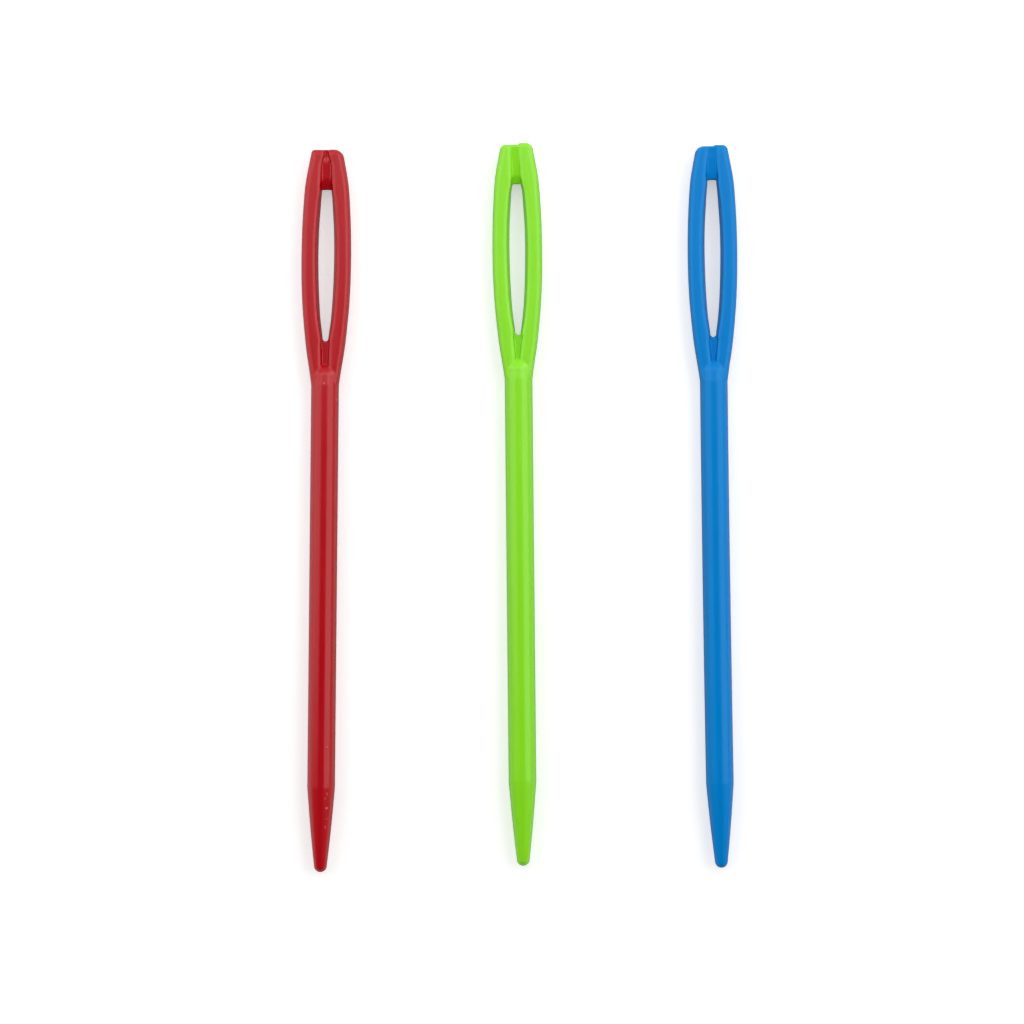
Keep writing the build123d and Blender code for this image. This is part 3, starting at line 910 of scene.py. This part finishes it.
def plastic(name, needle, flecks=()):
    """Satin moulded plastic: faint flow marks in the colour, a fine grain and hair-fine rub marks
    along the needle in the bump, an uneven gloss, a painted highlight that lightens faces leaning
    sideways, and painted shade that deepens the colour of steep walls, which are also dull."""
    material = bpy.data.materials.new(name)
    material.use_nodes = True
    shading = Shading(material.node_tree)
    place = shading.node("ShaderNodeTexCoord").out("Object")
    along = shading.drawn_out(place, FLOW_SHRINK)
    flow = shading.noise(along, FLOW_SCALE, detail=4.0, distortion=0.6)
    cloud = shading.noise(place, CLOUD_SCALE, detail=2.0)
    rub = shading.noise(shading.drawn_out(place, RUB_SHRINK), RUB_SCALE, detail=2.0)
    grain = shading.noise(place, GRAIN_SCALE, detail=3.0)
    wave = shading.noise(along, WAVE_SCALE, detail=0.0)

    normal = shading.node("ShaderNodeNewGeometry").out("Normal")
    parts = shading.node("ShaderNodeSeparateXYZ", {}, {"Vector": normal})
    sideways, upright = abs(parts.out("X")), abs(parts.out("Z"))
    # Painted highlight: faces that lean sideways get a lighter colour
    painted_highlight = shading.ranged(sideways, *PAINTED_HIGHLIGHT_LEAN) * shading.ranged(sideways, *PAINTED_HIGHLIGHT_LEAN_ENDS)
    # Painted shade on steep walls, which also makes them duller
    steep = shading.ranged(upright, *STEEP)
    # Random tone from the flow and cloud marks, plus the painted highlight
    light = (flow - FLOW_FROM) * FLOW_LIGHT + (cloud - NOISE_MIDDLE) * CLOUD_LIGHT + painted_highlight * PAINTED_HIGHLIGHT_STRENGTH
    shade = shading.mixed(light.clamped(), opaque(needle.colour), opaque(needle.light_and_highlight_colour))
    # Painted shade: steep walls get a deeper copy of the colour
    shade = shading.mixed(steep * STEEP_PAINTED_SHADE, shade, opaque([part * PAINTED_SHADE_FACTOR for part in needle.colour]))
    relief = grain * GRAIN_RELIEF + rub * RUB_RELIEF + wave * WAVE_RELIEF
    for x, y, r, strength in flecks:
        seen_flat = shading.node("ShaderNodeVectorMath", {"operation": "MULTIPLY"}, {0: place, 1: FLAT})
        away = shading.node(
            "ShaderNodeVectorMath", {"operation": "DISTANCE"}, {0: seen_flat.out(), 1: (x * MM, y * MM, 0.0)}
        ).out("Value")
        mark = (FLECK_FADE - away / (r * MM)).clamped()
        shade = shading.mixed(mark * strength, shade, opaque(FLECK_COLOUR))
        relief = relief + mark * FLECK_RELIEF
    roughness = ROUGHNESS + (cloud - NOISE_MIDDLE) * CLOUD_ROUGHNESS
    roughness = roughness + (rub - NOISE_MIDDLE) * RUB_ROUGHNESS
    bump = shading.node(
        "ShaderNodeBump", {}, {"Strength": BUMP_STRENGTH, "Distance": BUMP_DISTANCE, "Height": relief}
    )
    surface = shading.node("ShaderNodeBsdfPrincipled", {}, {
        "Base Color": shade, "Roughness": roughness, "Normal": bump.out(),
        "IOR": PLASTIC_IOR, "Specular IOR Level": needle.gloss,
    })
    dull = shading.node("ShaderNodeBsdfPrincipled", {}, {
        "Base Color": shade, "Roughness": DULL_ROUGHNESS, "Specular IOR Level": 0.0,
    })
    both = shading.node(
        "ShaderNodeMixShader", {}, {0: steep * STEEP_DULLNESS, 1: surface.out(), 2: dull.out()}
    )
    shading.finished("ShaderNodeOutputMaterial", both.out())
    return material


def seen_by_eye(shading):
    """1 for rays that come from the camera or by way of a gloss or a glass, otherwise 0."""
    path = shading.node("ShaderNodeLightPath")
    direct, gloss, through = (path.out(f"Is {kind} Ray") for kind in ("Camera", "Glossy", "Transmission"))
    return (direct + gloss + through).clamped()


# How far from the middle of the set, in metres, the table's own light starts to rise and is full
GLOW_RISE = (0.35, 1.2)


def table_paint(stage):
    """Matt white table. What the eye sees of it has a little light of its own, and more of it far
    from the needles, where the lamps don't reach."""
    material = bpy.data.materials.new("white_table")
    material.use_nodes = True
    shading = Shading(material.node_tree)
    surface = shading.node("ShaderNodeBsdfDiffuse", {}, {"Color": opaque(stage.floor_colour)})
    place = shading.node("ShaderNodeTexCoord").out("Object")
    away = shading.node("ShaderNodeVectorMath", {"operation": "LENGTH"}, {0: place}).out("Value")
    far = shading.ranged(away, *GLOW_RISE)
    strength = seen_by_eye(shading) * (stage.floor_glow + far * (1.0 - stage.floor_glow))
    glow = shading.node("ShaderNodeEmission", {}, {"Color": WHITE, "Strength": strength})
    both = shading.node("ShaderNodeAddShader", {}, {0: surface.out(), 1: glow.out()})
    shading.finished("ShaderNodeOutputMaterial", both.out())
    return material


# Height of a ray, from 0 level to 1 straight up: where the horizon's light gives way to the
# ceiling's, and below which it turns white
CEILING_RISE = (0.2, 0.55)
HORIZON_WHITE = (0.12, 0.03)


def room_light(world, stage):
    """Plain light all round: dim above, brighter low down, and white at the horizon."""
    world.use_nodes = True
    shading = Shading(world.node_tree)
    ray = shading.node("ShaderNodeTexCoord").out("Generated")
    up = shading.node("ShaderNodeSeparateXYZ", {}, {"Vector": ray}).out("Z")
    strength = stage.horizon_light
    strength = strength + shading.ranged(up, *CEILING_RISE) * (stage.ceiling_light - stage.horizon_light)
    strength = strength + shading.ranged(up, *HORIZON_WHITE) * (1.0 - stage.horizon_light)
    room = shading.node("ShaderNodeBackground", {}, {"Color": WHITE, "Strength": strength})
    shading.finished("ShaderNodeOutputWorld", room.out())


# Operators

class NEEDLES_OT_mould(Operator):
    """Moulds one needle and lays it in its place"""

    bl_idname = "needles.mould"
    bl_label = "Mould a Needle"
    bl_options = {"REGISTER", "UNDO"}

    cavity: EnumProperty(
        name="Cavity",
        description="Which needle",
        items=[(name, name.title(), f"The {name} needle") for name in CAVITIES],
    )

    def execute(self, context):
        settings = context.scene.needle_set
        cavity = getattr(settings, self.cavity)
        form = NeedleForm(settings.sizes, cavity, self.cavity)
        piece = closed_mesh(f"{self.cavity}_needle_skin", *form.skin())
        flecks = RED_FLECKS if self.cavity == "red" else ()
        piece.data.materials.append(plastic(f"{self.cavity}_plastic", cavity, flecks))
        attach(piece, f"{self.cavity}_needle_body")
        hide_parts(f"{self.cavity}_needle")
        return {"FINISHED"}


# The lamps in metres: name, place, aim, width, height and radiance. The width of the two side boxes
# lies along the needles.
LAMPS = (
    ("left_box", (-0.50, 0.18, 0.32), (0, 0.18, 0), 0.46, 0.62, 1.5),
    ("right_box", (0.48, 0.18, 0.42), (0, 0.18, 0), 0.62, 0.60, 1.75),
    ("head_box", (0, 0.24, 0.35), (0, 0.24, 0), 0.50, 0.40, 1.12),
    ("far_box", (0, 0.60, 0.52), (0, 0, 0), 1.40, 0.80, 0.5),
)
HALF_TABLE = 20.0
SENSOR_WIDTH = 36.0
CLIP = (0.01, 20.0)


def soft_box(name, place, aim, width, height, radiance):
    """A flat lamp that faces the aim. Its power is pi times its area times its radiance."""
    lamp = bpy.data.lights.new(name, "AREA")
    lamp.shape, lamp.size, lamp.size_y = "RECTANGLE", width, height
    lamp.energy = pi * width * height * radiance
    box = bpy.data.objects.new(name, lamp)
    box.location = place
    box.visible_camera = False
    box.rotation_euler = (Vector(aim) - Vector(place)).to_track_quat("-Z", "Y").to_euler()
    bpy.context.scene.collection.objects.link(box)


class NEEDLES_OT_stage(Operator):
    """Sets the table, the lamps, the room and the camera"""

    bl_idname = "needles.stage"
    bl_label = "Set the Stage"
    bl_options = {"REGISTER", "UNDO"}

    def execute(self, context):
        scene = context.scene
        settings = scene.needle_set
        stage = settings.stage
        corners = [(x * HALF_TABLE, y * HALF_TABLE, 0) for x, y in ((-1, -1), (1, -1), (1, 1), (-1, 1))]
        mesh = bpy.data.meshes.new("table")
        mesh.from_pydata(corners, [], [(0, 1, 2, 3)])
        table = bpy.data.objects.new("table", mesh)
        table.data.materials.append(table_paint(stage))
        scene.collection.objects.link(table)

        for lamp in LAMPS:
            soft_box(*lamp)
        scene.world = bpy.data.worlds.new("room")
        room_light(scene.world, stage)

        camera = bpy.data.cameras.new("camera")
        camera.sensor_width = SENSOR_WIDTH
        camera.lens = camera.sensor_width * stage.camera_height / stage.view_width
        camera.clip_start, camera.clip_end = CLIP
        viewer = bpy.data.objects.new("camera", camera)
        above_table = stage.camera_height + settings.sizes.shaft_diameter / 2
        viewer.location = (stage.view_across, stage.view_along, above_table)
        scene.collection.objects.link(viewer)
        scene.camera = viewer
        scene.view_settings.view_transform = "Standard"
        return {"FINISHED"}


class NEEDLES_PT_panel(Panel):
    """Lists the needles' settings and steps"""

    bl_idname = "NEEDLES_PT_panel"
    bl_label = "Yarn Needles"
    bl_space_type = "VIEW_3D"
    bl_region_type = "UI"
    bl_category = "Needles"

    def draw(self, context):
        settings = context.scene.needle_set
        for cavity in CAVITIES:
            self.layout.operator("needles.mould", text=f"Mould the {cavity} needle").cavity = cavity
        self.layout.operator("needles.stage")
        for group in (settings.sizes, settings.red, settings.green, settings.blue, settings.stage):
            box = self.layout.box()
            for name in group.bl_rna.properties.keys():
                if name not in ("name", "rna_type"):
                    box.prop(group, name)


CLASSES = (
    NeedleSizes, RedNeedle, GreenNeedle, BlueNeedle, StageSettings, NeedleSet,
    NEEDLES_OT_mould, NEEDLES_OT_stage, NEEDLES_PT_panel,
)


def register():
    """Registers the settings, the operators and the panel."""
    for each in CLASSES:
        bpy.utils.register_class(each)
    bpy.types.Scene.needle_set = PointerProperty(type=NeedleSet)


def unregister():
    """Takes them out again."""
    del bpy.types.Scene.needle_set
    for each in reversed(CLASSES):
        bpy.utils.unregister_class(each)


def main():
    """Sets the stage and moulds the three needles."""
    register()
    bpy.ops.needles.stage()
    for cavity in CAVITIES:
        bpy.ops.needles.mould(cavity=cavity)


if __name__ == "__main__":
    main()
